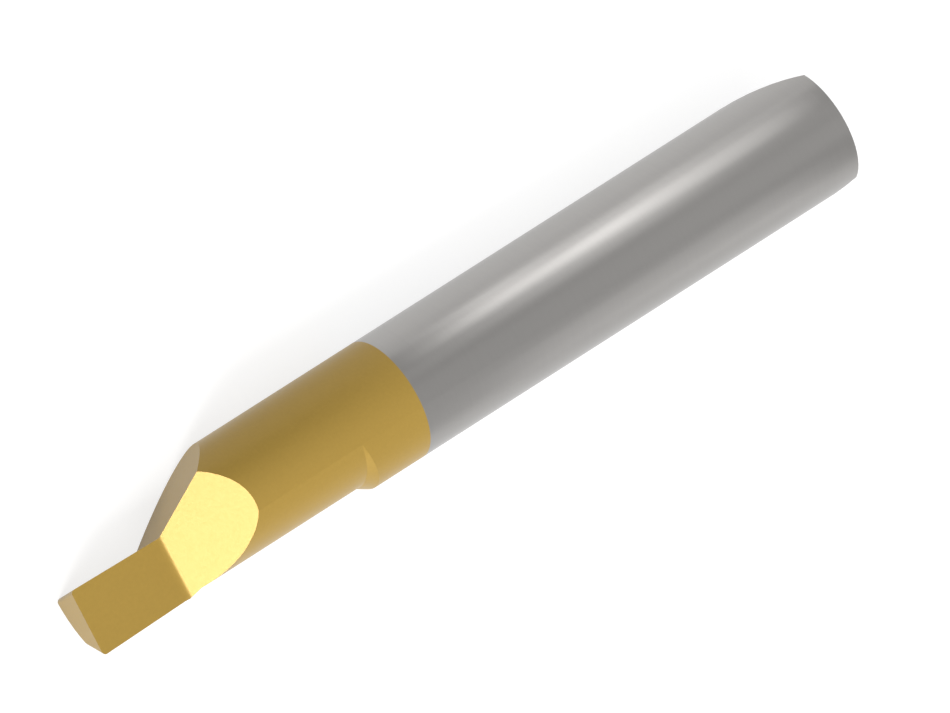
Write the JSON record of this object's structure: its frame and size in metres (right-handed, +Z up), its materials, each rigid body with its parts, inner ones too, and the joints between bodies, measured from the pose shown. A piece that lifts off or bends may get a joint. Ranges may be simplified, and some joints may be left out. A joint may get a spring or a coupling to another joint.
{
  "type": "face grooving tool",
  "caption": "Solid carbide face grooving tool: round bare shank, coated head with an offset grooving blade, relieved neck and sloped rear end for turning it in its holder.",
  "frame": {"origin": "on the bar's axis, in the plane where the coated head starts", "axes": "+X along the bar's axis towards the cutting edge, +Y towards the blade's outer side, +Z up out of the rake face"},
  "size_m": [0.0432, 0.006, 0.006],
  "materials": {
    "coated_carbide": "finely ground bare carbide on the shank, gold coloured hard coating on the head"
  },
  "bodies": {
    "root": {"grooving_bar": "coated_carbide"}
  },
  "joints": []
}
